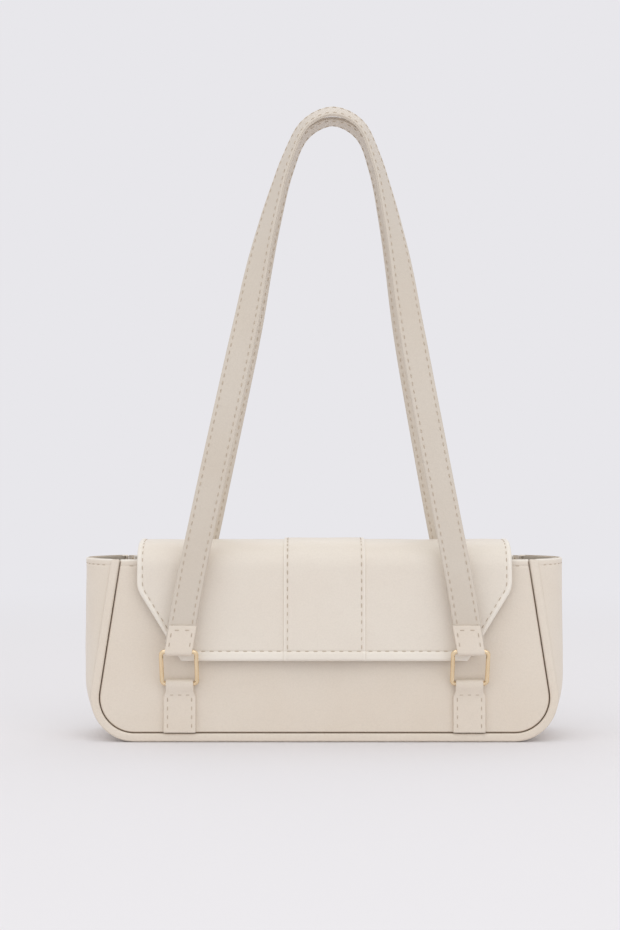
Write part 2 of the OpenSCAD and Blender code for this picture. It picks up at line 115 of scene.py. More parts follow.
def spline(points, t):
    # smooth curve through a list of points, t counted in points
    p = np.asarray(points, float)
    i = np.clip(np.floor(t).astype(int), 0, len(p) - 2)
    u = (t - i)[:, None]
    a, b = p[i], p[i + 1]
    ta = (b - p[np.maximum(i - 1, 0)])/2
    tb = (p[np.minimum(i + 2, len(p) - 1)] - a)/2
    return ((2*u**3 - 3*u**2 + 1)*a + (u**3 - 2*u**2 + u)*ta
            + (3*u**2 - 2*u**3)*b + (u**3 - u**2)*tb)


def arcLength(path):
    # distance along a path from its start to each of its points
    return np.concatenate([[0], np.cumsum(np.linalg.norm(np.diff(path, axis=0), axis=1))])


def readOff(at, run, values):
    # columns of values that are known at the lengths run, read off between them at other lengths
    return np.stack([np.interp(at, run, column) for column in values.T], -1)


def resample(path, step):
    # the same path with even spacing, and its arc length
    length = arcLength(path)
    count = max(int(round(length[-1]/step)), 2)
    at = np.linspace(0, length[-1], count + 1)
    return readOff(at, length, path), at


def meshObject(name, points, faces, uv=None, marks=None):
    # points in millimetres, faces as one array of corners with -1 where a face has fewer;
    # marks are named values at the points, which materials read
    faces = np.asarray(faces, np.int64)
    mesh = bpy.data.meshes.new(name)
    corners = faces[faces >= 0]
    sizes = (faces >= 0).sum(1)
    starts = np.concatenate([[0], np.cumsum(sizes)[:-1]])
    mesh.vertices.add(len(points))
    mesh.vertices.foreach_set("co", (np.asarray(points)*mm).astype(np.float32).ravel())
    mesh.loops.add(len(corners))
    mesh.loops.foreach_set("vertex_index", corners.astype(np.int32))
    mesh.polygons.add(len(faces))
    mesh.polygons.foreach_set("loop_start", starts.astype(np.int32))
    if uv is not None:
        layer = mesh.uv_layers.new(name="UVMap")
        layer.data.foreach_set("uv", (np.asarray(uv)[corners]*mm).astype(np.float32).ravel())
    for key, value in (marks or {}).items():
        layer = mesh.attributes.new(key, "FLOAT", "POINT")
        layer.data.foreach_set("value", np.asarray(value, np.float32).ravel())
    mesh.update(calc_edges=True)
    mesh.polygons.foreach_set("use_smooth", np.ones(len(mesh.polygons), bool))
    obj = bpy.data.objects.new(name, mesh)
    bpy.context.scene.collection.objects.link(obj)
    return obj


def gridFaces(rows, cols, closed=False):
    # quads between neighbouring rows; closed joins the last column to the first
    i, j = np.meshgrid(np.arange(rows - 1), np.arange(cols if closed else cols - 1), indexing="ij")
    k = (j + 1) % cols
    quads = np.stack([i*cols + j, i*cols + k, (i + 1)*cols + k, (i + 1)*cols + j], -1)
    return quads.reshape(-1, 4)


def tubeSurface(name, rings, capped=True):
    # closed skin over rings of points (rows, cols, 3), with a fan at both ends
    rows, cols = rings.shape[:2]
    points = rings.reshape(-1, 3)
    faces = gridFaces(rows, cols, closed=True)
    if capped:
        points = np.concatenate([points, rings[0].mean(0)[None], rings[-1].mean(0)[None]])
        j = np.arange(cols)
        k = (j + 1) % cols
        first = np.stack([k, j, np.full(cols, rows*cols), np.full(cols, -1)], 1)
        base = (rows - 1)*cols
        last = np.stack([base + j, base + k, np.full(cols, rows*cols + 1), np.full(cols, -1)], 1)
        faces = np.concatenate([faces, first, last])
    return outward(meshObject(name, points, faces))


def shell(name, top, bottom, uv=None, **marks):
    # closed slab between two grids of the same size: both faces, and a wall round the border;
    # marks are given on the top grid and are 0 below
    rows, cols = top.shape[:2]
    count = rows*cols
    quads = gridFaces(rows, cols)
    k = np.arange(count).reshape(rows, cols)
    rim = np.concatenate([k[0, :-1], k[:-1, -1], k[-1, :0:-1], k[:0:-1, 0]])
    nxt = np.roll(rim, -1)
    wall = np.stack([rim, nxt, nxt + count, rim + count], 1)
    faces = np.concatenate([quads, quads[:, ::-1] + count, wall])
    points = np.concatenate([top.reshape(-1, 3), bottom.reshape(-1, 3)])
    if uv is not None:
        uv = np.concatenate([uv.reshape(-1, 2)]*2)
    doubled = {key: np.concatenate([v.ravel(), np.zeros(count)]) for key, v in marks.items()}
    return outward(meshObject(name, points, faces, uv, doubled))


def outward(obj):
    # merges doubles and turns all faces so that they point out of the closed surface
    bm = bmesh.new()
    bm.from_mesh(obj.data)
    bmesh.ops.remove_doubles(bm, verts=bm.verts, dist=1e-7)
    bmesh.ops.recalc_face_normals(bm, faces=bm.faces)
    bm.to_mesh(obj.data)
    bm.free()
    obj.data.polygons.foreach_set("use_smooth", np.ones(len(obj.data.polygons), bool))
    return obj


def roundedBar(halfWidth, low, high, radius, steps=4):
    # outline of a flat bar's cross-section, [across, out], with rounded corners
    a = np.linspace(0, np.pi/2, steps + 1)
    corner = np.stack([np.cos(a), np.sin(a)], 1)*radius
    turns = []
    for k, (sx, sy) in enumerate(((1, 1), (-1, 1), (-1, -1), (1, -1))):
        c, s = np.cos(k*np.pi/2), np.sin(k*np.pi/2)
        turned = corner @ np.array([[c, s], [-s, c]])
        centre = [sx*(halfWidth - radius), (high - radius) if sy > 0 else (low + radius)]
        turns.append(turned + centre)
    return np.concatenate(turns)


def insetOf(points, outline):
    # distance from points to the nearest stretch of a polyline, both in two dimensions
    p = points.reshape(-1, 1, 2)
    a, b = outline[None, :-1], outline[None, 1:]
    along = b - a
    t = np.clip(((p - a)*along).sum(-1)/np.maximum((along**2).sum(-1), 1e-12), 0, 1)
    gap = p - a - t[..., None]*along
    return np.sqrt((gap**2).sum(-1).min(1)).reshape(points.shape[:-1])


def rimDrop(inset, radius):
    # how far a rounded rim falls below the flat surface: a quarter circle of that radius
    return radius - radius*np.sqrt(1 - (1 - np.clip(inset/radius, 0, 1))**2)


def groove(distance, width, depth):
    # a soft furrow along a line at distance 0
    return -depth*np.exp(-(distance/width)**2)


# sewing: runs of small capsules whose ends dive into the leather

stitchSettings = {"pitch": 4.9, "length": 3.2, "radius": 0.28, "sides": 6, "dive": 0.42, "float": 0.12,
                  "tip": 0.12, "reach": 0.4}


def stitches(name, lines, s=stitchSettings):
    # each line is (points, normals); a stitch is a tube along the line, raised in its middle by float
    # and sunk at both pointed ends by dive
    t = np.array([-1, -0.86, -0.5, 0, 0.5, 0.86, 1])
    swell = np.sqrt(np.clip(1 - t**4, 0, 1))
    swell[[0, -1]] = s["tip"]
    turn = np.arange(s["sides"])*2*np.pi/s["sides"]
    points, faces, offset = [], [], 0
    for path, normal in lines:
        run = arcLength(path)
        count = max(int(run[-1]//s["pitch"]), 1)
        spacing = run[-1]/count
        centre = (np.arange(count) + 0.5)*spacing
        at = centre[:, None] + t[None]*s["length"]/2
        core = readOff(at, run, path)
        up = unit(readOff(at, run, normal))
        along = unit(readOff(at + s["reach"], run, path) - readOff(at - s["reach"], run, path))
        side = unit(np.cross(up, along))
        lift = s["float"] - (s["dive"] + s["float"])*t**4
        core = core + up*lift[None, :, None]
        around = side[:, :, None]*np.cos(turn)[:, None] + up[:, :, None]*np.sin(turn)[:, None]
        ring = core[:, :, None] + swell[:, None, None]*s["radius"]*around
        rows, cols = len(t), s["sides"]
        quads = gridFaces(rows, cols, closed=True)
        caps = np.array([[0, 1, 2, 3], [0, 3, 4, 5]])
        one = np.concatenate([quads, caps[:, ::-1], caps + (rows - 1)*cols])
        faces.append((one[None] + (np.arange(count)*rows*cols)[:, None, None]).reshape(-1, 4) + offset)
        points.append(ring.reshape(-1, 3))
        offset += count*rows*cols
    return meshObject(name, np.concatenate(points), np.concatenate(faces))


def dress(obj, material, body, slot, *nodes):
    # gives a finished piece its material, hangs it on its body (a piece of the fold only has its transform
    # baked in), and hides the solids that it stands for; slot is not used
    obj.data.materials.clear()
    obj.data.materials.append(material)
    if body == "fold":
        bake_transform(obj)
    else:
        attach(obj, body)
    if nodes:
        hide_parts(*nodes)


def mirrored(grid, axis):
    # the same points with the sign of one axis changed: 0 for left and right, 1 for front and back
    out = np.array(grid, float)
    out[..., axis] *= -1
    return out


print("helpers ready")


# materials

def tone(r, g, b):
    # a screen colour of 0 to 255 as the linear values that shaders take
    c = np.array([r, g, b])/255
    return tuple(float(v) for v in np.where(c <= 0.04045, c/12.92, ((c + 0.055)/1.055)**2.4)) + (1.0,)


def dimmed(colour, share):
    # a linear colour times a share, its alpha kept at 1
    return tuple(c*share for c in colour[:3]) + (1.0,)


class Wire:
    # wraps a socket: an expression on wires adds its Math nodes
    def __init__(self, recipe, socket):
        self.recipe, self.socket = recipe, socket

    def __add__(self, other):
        return self.recipe.math("ADD", self, other)

    def __sub__(self, other):
        return self.recipe.math("SUBTRACT", self, other)

    def __rsub__(self, other):
        return self.recipe.math("SUBTRACT", other, self)

    def __mul__(self, other):
        return self.recipe.math("MULTIPLY", self, other)

    __radd__, __rmul__ = __add__, __mul__


class Recipe:
    # the node tree of a new material or world
    def __init__(self, owner):
        self.owner = owner
        owner.use_nodes = True
        self.tree = owner.node_tree
        self.tree.nodes.clear()

    def add(self, kind, settings=None, sockets=None, out=0):
        # adds a node: its settings first, then a value or a link for each socket
        node = self.tree.nodes.new(kind)
        for key, value in (settings or {}).items():
            setattr(node, key, value)
        for key, value in (sockets or {}).items():
            if isinstance(value, Wire):
                self.tree.links.new(value.socket, node.inputs[key])
            else:
                node.inputs[key].default_value = value
        return Wire(self, node.outputs[out])

    def math(self, operation, *values):
        return self.add("ShaderNodeMath", {"operation": operation}, dict(enumerate(values)))

    def mix(self, factor, a, b):
        return self.add("ShaderNodeMix", {"data_type": "RGBA"}, {0: factor, 6: a, 7: b}, out=2)

    def noise(self, at, scale, detail=3.0, rough=0.5):
        return self.add("ShaderNodeTexNoise", sockets={
            "Vector": at, "Scale": scale, "Detail": detail, "Roughness": rough})

    def bump(self, height, strength, distance):
        return self.add("ShaderNodeBump", sockets={
            "Height": height, "Strength": strength, "Distance": distance})

    def done(self, **sockets):
        shader = self.add("ShaderNodeBsdfPrincipled", sockets={
            key.replace("_", " "): value for key, value in sockets.items()})
        return self.output(shader)

    def output(self, shader, kind="ShaderNodeOutputMaterial"):
        end = self.tree.nodes.new(kind)
        self.tree.links.new(shader.socket, end.inputs["Surface"])
        return self.owner


# cream leather: pale, fine pebbled grain, low sheen, a little smoother where edges are turned and paler there,
# partly its own tone and partly a painted highlight; a painted brown shade in the gap beside the welts
leatherSettings = {
    "tone": (234, 224, 211), "deep": (229, 216, 200), "edge": (246, 240, 230), "crease": (118, 92, 68),
    "cells": 950.0, "fine": 3200.0, "blotches": 22.0, "pores": 0.22, "poreShade": 0.8,
    "bumpStrength": 0.35, "bumpDistance": 0.0002, "roughness": 0.42, "specular": 0.55,
}


def leather(name, s, darker=1.0):
    # colour: broad blotches between two tones, pores a little darker, edges paler (partly their own tone,
    # partly a painted highlight), a painted brown shade in the gap beside the welts; darker dims every tone,
    # which the straps use as painted shade;
    # height: rounded cells with fine noise on them
    r = Recipe(bpy.data.materials.new(name))
    at = r.add("ShaderNodeTexCoord", out="Object")
    broad = r.noise(at, s["blotches"], 4.0)
    cells = r.add("ShaderNodeTexVoronoi", {"feature": "SMOOTH_F1"}, {
        "Vector": at, "Scale": s["cells"], "Smoothness": 0.4, "Randomness": 0.9}, out="Distance")
    fine = r.noise(at, s["fine"], 4.0, 0.6)
    edge = r.add("ShaderNodeAttribute", {"attribute_name": "edge"}, out="Fac")
    crease = r.add("ShaderNodeAttribute", {"attribute_name": "crease"}, out="Fac")
    flat, deep, pale = (dimmed(tone(*s[key]), darker) for key in ("tone", "deep", "edge"))
    colour = r.mix(broad*1.4 - 0.2, flat, deep)
    colour = r.mix(cells*s["pores"], colour, dimmed(deep, s["poreShade"]))
    # paler edges: partly the turned edges' own tone, partly a painted highlight
    colour = r.mix(edge*(0.55 + fine*0.3), colour, pale)
    # painted shade: brown in the shaded gap between a panel's rim and its welt
    colour = r.mix(crease, colour, tone(*s["crease"]))
    height = cells*0.8 + fine*0.35
    return r.done(Base_Color=colour, Roughness=s["roughness"] + (fine - 0.5)*0.16 - edge*0.06,
                  Normal=r.bump(height, s["bumpStrength"], s["bumpDistance"]),
                  Specular_IOR_Level=s["specular"])


# sewing thread: beige, twisted of three strands
threadSettings = {"tone": (210, 195, 176), "deep": (186, 169, 149), "twist": 2600.0}


def thread(name, s):
    # colour and height both follow a slanted wave, which reads as twisted strands
    r = Recipe(bpy.data.materials.new(name))
    at = r.add("ShaderNodeTexCoord", out="Object")
    wave = r.add("ShaderNodeTexWave", {"bands_direction": "DIAGONAL"}, {
        "Vector": at, "Scale": s["twist"], "Distortion": 1.0})
    fuzz = r.noise(at, 5200.0)
    colour = r.mix(wave*0.5 + fuzz*0.35, tone(*s["tone"]), tone(*s["deep"]))
    return r.done(Base_Color=colour, Roughness=0.62 + fuzz*0.2, Normal=r.bump(wave, 0.35, 0.0002))


# pale gold plate: polished, with faint hairlines and a slightly duller patina in places
goldSettings = {"tone": (250, 231, 198), "deep": (240, 214, 172), "roughness": 0.2}


def gold(name, s):
    # colour drifts with broad noise, roughness with broad and fine noise, hairlines give the bump
    r = Recipe(bpy.data.materials.new(name))
    at = r.add("ShaderNodeTexCoord", out="Object")
    drift = r.noise(at, 130.0)
    hair = r.noise(at, 2400.0, 2.0)
    return r.done(Base_Color=r.mix(drift, tone(*s["tone"]), tone(*s["deep"])), Metallic=1.0,
                  Roughness=s["roughness"] + (drift - 0.5)*0.12 + (hair - 0.5)*0.08,
                  Normal=r.bump(hair, 0.08, 0.0001))


# twill lining: slanted ribs with a crossing yarn, read from each piece's own UV map in metres
liningSettings = {"tone": (214, 199, 178), "deep": (182, 163, 138), "rib": 0.0008}


def lining(name, s):
    # a twill rib is a wave of u + v, and the crossing yarns a finer wave of u - v
    r = Recipe(bpy.data.materials.new(name))
    uv = r.add("ShaderNodeTexCoord", out="UV")
    at = r.add("ShaderNodeTexCoord", out="Object")
    split = r.add("ShaderNodeSeparateXYZ", sockets={0: uv})
    u, v = split, Wire(r, split.socket.node.outputs[1])
    turns = 2*np.pi/s["rib"]
    rib = r.math("SINE", (u + v)*turns)*0.5 + 0.5
    yarn = r.math("SINE", (u - v)*(turns*0.5))*0.5 + 0.5
    slub = r.noise(at, 260.0, 4.0)
    height = rib*0.7 + yarn*0.3
    colour = r.mix(height*0.6 + slub*0.4, tone(*s["deep"]), tone(*s["tone"]))
    return r.done(Base_Color=colour, Roughness=0.82 + slub*0.1, Normal=r.bump(height, 0.5, 0.0002))


# fibre board under the lining: brown, flecked
boardSettings = {"tone": (112, 92, 72), "deep": (78, 62, 48)}


def fibreBoard(name, s):
    # short dark flecks on a brown ground
    r = Recipe(bpy.data.materials.new(name))
    at = r.add("ShaderNodeTexCoord", out="Object")
    fleck = r.noise(at, 900.0, 6.0, 0.7)
    return r.done(Base_Color=r.mix(fleck, tone(*s["tone"]), tone(*s["deep"])), Roughness=0.85,
                  Normal=r.bump(fleck, 0.3, 0.0003))


bodyLeather = leather("body_leather", leatherSettings)
# painted light: the flap's copy of the leather is a shade paler, for the stronger light that falls on it
flapPaintedLightTones = {"tone": (236, 228, 216), "deep": (232, 221, 208)}  # the flap is a shade paler, the straps darker
flapLeatherPaintedLight = leather("flap_leather_painted_light", {**leatherSettings, **flapPaintedLightTones})
# painted shade: the straps use the same leather, dimmed for the shade they stand in
strapLeatherPaintedShade = leather("strap_leather_painted_shade", leatherSettings, darker=0.84)
threadMaterial = thread("sewing_thread", threadSettings)
goldMaterial = gold("pale_gold", goldSettings)
liningMaterial = lining("lining_twill", liningSettings)
boardMaterial = fibreBoard("fibre_board", boardSettings)
print("materials ready")


# body: two panels inside rounded welts, and one gusset that makes both ends and the base

hemStations = [0, 0.2, 0.45, 0.8, 1.3, 1.9, 2.6, 3.2, 3.6, 4.0, 4.4, 4.8, 5.3, 6.0, 7.5, 10.0]
sideStations = np.concatenate([hemStations, np.linspace(13, 80, 26)])/84  # shares of a side, from its top
cornerSteps, baseSteps = 29, 30


def halfOutline(topX, lean, low, r, top):
    # right half of an outline: the leaning side, an arc of radius r, and the base to the middle
    lean = np.radians(lean)
    c, s = np.cos(lean), np.sin(lean)
    cz = low + r
    cx = (topX*c + top*s - r - cz*s)/c
    first, last = np.array([topX, top]), np.array([cx + r*c, cz + r*s])
    side = first + sideStations[:, None]*(last - first)
    a = lean - np.linspace(0, 1, cornerSteps)*(np.pi/2 + lean)
    corner = np.stack([cx + r*np.cos(a), cz + r*np.sin(a)], 1)
    x = cx*(1 - np.linspace(0, 1, baseSteps + 1)[1:])
    return np.concatenate([side, corner, np.stack([x, np.full(baseSteps, low)], 1)])


def wholeOutline(half):
    # from the left top, under the base, to the right top
    return np.concatenate([half*[-1, 1], half[-2::-1]])


def seamHalf(d, top=None, low=None):
    # seam line of the panels, moved outward by d
    top = body["height"] if top is None else top
    low = body["seamZ"] - d if low is None else low
    x = body["topWidth"]/2 + d/np.cos(np.radians(body["sideLean"]))
    return halfOutline(x, body["sideLean"], low, body["panelCorner"] + d, top)


def middleHalf(d, top=None, low=None):
    # outline of the gusset at the middle of the depth, moved outward by d
    top = body["height"] if top is None else top
    low = -d if low is None else low
    return halfOutline(body["width"]/2 + d, 0, low, body["gussetCorner"] + d, top)


def panelGrid(inset, top, bottom=0.0):
    # grid of x and v over a panel between two heights, and each point's distance to its border
    half = seamHalf(-inset)[:len(sideStations) + cornerSteps][::-1]
    low = max(half[0, 1], bottom)
    arc = half[half[:, 1] <= half[0, 1] + body["panelCorner"], 1]
    v = np.concatenate([arc, top - np.asarray(hemStations), np.linspace(low, top - 10, 30)])
    if bottom > half[0, 1]:
        v = np.concatenate([v, bottom + np.array([0, 0.3, 0.6, 1, 1.5, 2.2, 3, 4])])
    v = np.unique(np.round(v[(v >= low) & (v <= top)], 3))
    reach = np.interp(v, half[:, 1], half[:, 0])
    width = body["topWidth"]
    u = clustered([0, 0.15, 0.35, 0.6, 0.9, 1.3, 1.8, 2.6, 3.6, 5, 7], width, 62)/(width/2) - 1
    x = reach[:, None]*u[None]
    v = np.broadcast_to(v[:, None], x.shape)
    border = np.concatenate([np.stack([reach, v[:, 0]], 1), np.stack([-reach, v[:, 0]], 1)[::-1],
                             [[reach[0], v[0, 0]]]])
    return x, v, insetOf(np.stack([x, v], -1), border)


panelSettings = {"inset": 0.2, "rim": 1.1, "hem": 4.0, "hemWidth": 0.5, "hemDepth": 0.4, "hemReach": 122,
                 "wave": 0.16, "waveSize": 70.0}


def panelPiece(name, side, s=panelSettings):
    # flat leather with a rounded border, a stitched hem under its top edge and a faint wave
    x, v, inset = panelGrid(s["inset"], body["height"])
    fromTop = body["height"] - v
    h = -rimDrop(inset, s["rim"]) + groove(fromTop - s["hem"], s["hemWidth"], s["hemDepth"])
    h += ripple(x, v, 11 + side, s["waveSize"])*s["wave"]*smooth(2, 14, inset)
    # painted shade: a brown band on the panel's rim beside the welt, where the gap between them is in shade
    crease = (1 - smooth(0.1, 1.1, inset))*smooth(0.8, 2.0, fromTop)
    # paler along the top edge: partly the turned edge's own tone, partly a painted highlight
    edge = 1 - smooth(0.4, 2.0, fromTop)
    top, bottom = onFront(x, v, h), onFront(x, v, -body["leather"] - 0*x)
    if side:
        top, bottom = mirrored(top, 1), mirrored(bottom, 1)
    obj = shell(name + "Panel", top, bottom, edge=edge, crease=crease)
    dress(obj, bodyLeather, "bag_body", "cream_leather", name + "_panel")
    take = np.argmin(np.abs(fromTop[:, 0] - s["hem"]))
    row = top[take, np.abs(x[take]) < s["hemReach"]]
    return row, np.broadcast_to([0, (1 if side else -1)*leanCos, leanSin], row.shape)


hemLines = [panelPiece("front", 0), panelPiece("back", 1)]

gussetSettings = {"bow": 2.2, "across": 33, "wave": 0.45, "waveSize": 46.0, "waveDepth": 30, "rim": 0.7,
                  "hem": 4.0, "hemWidth": 0.5, "hemDepth": 0.35, "hemReach": 0.93, "gap": 0.2}


def bandGrid(seam, middle, edgeInset, across):
    # rows follow the outlines; across the depth the surface bows from the seam to the middle outline
    t = np.sin(np.linspace(-np.pi/2, np.pi/2, across))*0.5 + np.linspace(-0.5, 0.5, across)
    bow = 1 - np.abs(t)**gussetSettings["bow"]
    p = seam[:, None] + bow[None, :, None]*(middle - seam)[:, None]
    halfDepth = body["baseDepth"]/2 - seam[:, 1]*np.tan(leanAngle) - edgeInset
    return np.stack([p[..., 0], t[None]*halfDepth[:, None], p[..., 1]], -1), t


def bandNormals(grid):
    # outward normals of a band: across the rows and the depth
    n = unit(np.cross(np.gradient(grid, axis=0), np.gradient(grid, axis=1)))
    away = grid - [0, 0, body["height"]/2]
    away[..., 1] = 0
    return n*np.sign((n*away).sum(-1, keepdims=True))


def gussetPiece(s=gussetSettings):
    # outer face with a soft wave and a stitched hem at both tops, inner face parallel to it
    edgeInset = body["weltBack"] + s["gap"]
    seam, middle = wholeOutline(seamHalf(body["seamZ"])), wholeOutline(middleHalf(0))
    outer, t = bandGrid(seam, middle, edgeInset, s["across"])
    inner, _ = bandGrid(wholeOutline(seamHalf(body["seamZ"] - body["leather"])),
                        wholeOutline(middleHalf(-body["leather"])), edgeInset, s["across"])
    run = arcLength(seam)
    top = np.minimum(run, run[-1] - run)[:, None]
    lift = ripple(run[:, None], t[None]*s["waveDepth"], 5, s["waveSize"])*s["wave"]
    lift = lift*(1 - t[None]**2)*smooth(0, 12, top)
    lift = lift + groove(top - s["hem"], s["hemWidth"], s["hemDepth"]) - rimDrop(top, s["rim"])
    low = smooth(2.0, 8.0, outer[..., 2])  # the base stays flat on what it stands on
    normal = bandNormals(outer)
    outer = outer + normal*(lift*low)[..., None]
    # paler along both tops: partly the turned edges' own tone, partly a painted highlight
    edge = (1 - smooth(0.3, 1.8, top)) + 0*t[None]
    dress(shell("gussetStrip", outer, inner, edge=edge), bodyLeather, "bag_body", "cream_leather", "gusset")
    take = np.argmin(np.abs(run - s["hem"]))
    within = np.abs(t) < s["hemReach"]
    return [(outer[k][within], normal[k][within]) for k in (take, len(run) - 1 - take)]


hemLines += gussetPiece()

weltSettings = {"radius": 1.3, "endRound": 1.0, "endShare": 0.65}


def weltPiece(name, side, s=weltSettings):
    # a rounded flat tube round the panel's sides and base, closed with a rounded end at both tops
    w, low, high = body["weltWidth"], -body["weltBack"], body["weltProud"]
    section = roundedBar(w/2, low, high, s["radius"], 5) + [w/2, 0]
    rings = np.stack([onFront(*wholeOutline(seamHalf(d)).T, h) for d, h in section], 1)
    path = rings.mean(1)
    run = arcLength(path)
    near = np.clip(np.minimum(run, run[-1] - run)/s["endRound"], 0, 1)
    shrink = np.sqrt(1 - (1 - near)**2)*(1 - s["endShare"]) + s["endShare"]
    rings = path[:, None] + (rings - path[:, None])*shrink[:, None, None]
    if side:
        rings = mirrored(rings, 1)
    dress(tubeSurface(name + "Piping", rings), bodyLeather, "bag_body", "cream_leather", name + "_welt")


weltPiece("front", 0)
weltPiece("back", 1)

innerSettings = {
    "back": 2.1, "cloth": 0.8, "facing": 22.0, "side": 1.1, "facingSide": 2.4, "drop": 1.5, "gap": 0.1,
    "pocketWidth": 120.0, "pocketLow": 20.0, "pocketHeight": 62.0, "pocketStitch": 2.4, "gape": 1.3,
    "gussetGap": 0.2, "boardGap": 0.4, "gussetFacingDrop": 0.6, "across": 25,
}


def inside(name, node, side, inset, high, low, top, bottom, material, slot, rim=0.5):
    # a sheet on the inner side of a panel, with rounded borders on the face that shows
    x, v, gap = panelGrid(inset, top, bottom)
    face = onFront(x, v, low + rimDrop(gap, rim))
    back = onFront(x, v, high + 0*x)
    if side:
        face, back = mirrored(face, 1), mirrored(back, 1)
    # paler along the borders where a leather material reads it: partly the edges' own tone, partly a painted
    # highlight
    obj = shell(name, face, back, uv=np.stack([x, v], -1), edge=1 - smooth(0.3, 1.5, gap))
    dress(obj, material, "bag_body", slot, node)


def pocketPiece(s=innerSettings):
    # a slip pocket on the back lining: a flat sheet that gapes a little along its top hem
    u = clustered([0, 0.3, 0.7, 1.2, 2, 3, 4], s["pocketWidth"], 40) - s["pocketWidth"]/2
    v = s["pocketLow"] + clustered([0, 0.3, 0.7, 1.2, 2, 3, 4, 5], s["pocketHeight"], 24)
    x, v = np.meshgrid(u, v)
    fromTop = s["pocketLow"] + s["pocketHeight"] - v
    gap = np.minimum(np.minimum(s["pocketWidth"]/2 - np.abs(x), v - s["pocketLow"]), fromTop)
    back = -(s["back"] + s["cloth"] + s["gap"])
    gape = s["gape"]*np.cos(x/s["pocketWidth"]*np.pi)*(1 - smooth(0, 16, fromTop))
    face = back - s["cloth"] - gape + rimDrop(gap, 0.4) - groove(gap - s["pocketStitch"], 0.5, 0.2)
    top = mirrored(onFront(x, v, face), 1)
    obj = shell("slipPocket", top, mirrored(onFront(x, v, back - gape), 1), uv=np.stack([x, v], -1))
    dress(obj, liningMaterial, "bag_body", "lining_cloth", "inner_pocket")
    reach = s["pocketWidth"]/2 - s["pocketStitch"]
    i = np.argmin(np.abs(v[:, 0] - s["pocketLow"] - s["pocketStitch"]))
    j, k = (np.argmin(np.abs(x[0] - place)) for place in (-reach, reach))
    lines = [top[i:, j], top[i, j:k + 1], top[i:, k]]
    return [(line, np.broadcast_to([0, -1, 0], line.shape)) for line in lines]


def gussetInsidePieces(s=innerSettings):
    # cloth inside the gusset, raised over the board in the base, and a leather facing at each of its mouths
    onGusset = body["leather"] + s["gussetGap"]
    base = body["leather"] + body["board"] + s["boardGap"]
    edgeInset = s["back"] + s["cloth"] + s["gussetGap"]

    def layer(depth, top):
        low = base + depth - onGusset
        seam = wholeOutline(seamHalf(body["seamZ"] - depth, top, low))
        return bandGrid(seam, wholeOutline(middleHalf(-depth, top, low)), edgeInset, s["across"])[0]

    outer, inner = (layer(onGusset + d, body["height"] - s["drop"]) for d in (0, s["cloth"]))
    run = arcLength(inner[:, s["across"]//2])
    uv = np.stack([np.broadcast_to(run[:, None], inner.shape[:2]), inner[..., 1]], -1)
    dress(shell("gussetLining", inner, outer, uv=uv), liningMaterial, "bag_body", "lining_cloth",
          "gusset_lining")

    onCloth, top = onGusset + s["cloth"] + s["gap"], body["height"] - s["gussetFacingDrop"]
    outer, inner = (layer(onCloth + d, top) for d in (0, body["leather"]))
    count = int(np.argmax(inner[:, s["across"]//2, 2] < body["height"] - s["facing"])) + 1
    for name, rows in (("gussetFacingRight", slice(0, count)), ("gussetFacingLeft", slice(-count, None))):
        dress(shell(name, inner[rows], outer[rows]), bodyLeather, "bag_body", "cream_leather")


def innerPieces(s=innerSettings):
    # the cloth and the leather facing inside both panels
    clothFace = -s["back"] - s["cloth"]
    facingBack = clothFace - s["gap"]
    for side, name in enumerate(("front", "back")):
        inside(name + "Lining", name + "_lining", side, body["leather"] + s["side"], -s["back"], clothFace,
               body["height"] - s["drop"], 0.0, liningMaterial, "lining_cloth")
        inside(name + "Facing", name + "_facing", side, body["leather"] + s["facingSide"], facingBack,
               facingBack - body["leather"], body["height"], body["height"] - s["facing"], bodyLeather,
               "cream_leather", 0.8)


innerPieces()
pocketLines = pocketPiece()
gussetInsidePieces()
print("body ready")


# flap: two side leathers and a lining, with a wide strip sewn down the middle, bending at the back

flapSettings = {
    "width": 230.0, "frontWidth": 174.0, "edgeZ": 50.0, "turnZ": 94.0, "turnRadius": 16.0, "lowRadius": 5.0,
    "hinge": (31.1267, 113.522), "rise": 52.0, "foldOut": 1.4, "foldIn": 1.15, "foldPull": 0.8, "risePull": 5.6,
    "crownPulls": ((8, 121.5), (-22, 120.67)), "crown": (-10, 121), "frontDrop": 13, "bendZ": 106.0,
    "topGap": 4.2, "lowGap": 4.7, "backGap": 0.1, "step": 0.25,
    "thick": 2.3, "stripWidth": 50.0, "stripThick": 1.0, "sideStitch": 3.3, "lowStitch": 6.0,
    "stripStitch": 2.3, "seamUnder": 20.0, "lip": 0.45, "wave": 0.35, "waveSize": 60.0, "tailLow": 92.0,
    "liningInset": 4.4, "liningStart": 26.0, "stitchFrom": 2.5, "stitchStep": 0.5, "stitchSunk": 0.3,
    "tailStitch": 3.0, "stripSunk": 0.25, "furrowWidth": 0.45, "furrow": 0.35, "stripFurrow": 0.3,
}


def bezier(p, count):
    # cubic curve from the first of four points to the last, pulled towards the two between them
    t = np.linspace(0, 1, count)[:, None]
    p = np.asarray(p, float)
    return (1 - t)**3*p[0] + 3*t*(1 - t)**2*p[1] + 3*t*t*(1 - t)*p[2] + t**3*p[3]


def onBack(v, h):
    # side view of a point at height v and distance h from the back panel: depth and height
    p = onFront(0, v, h)
    return np.array([-p[1], p[2]])


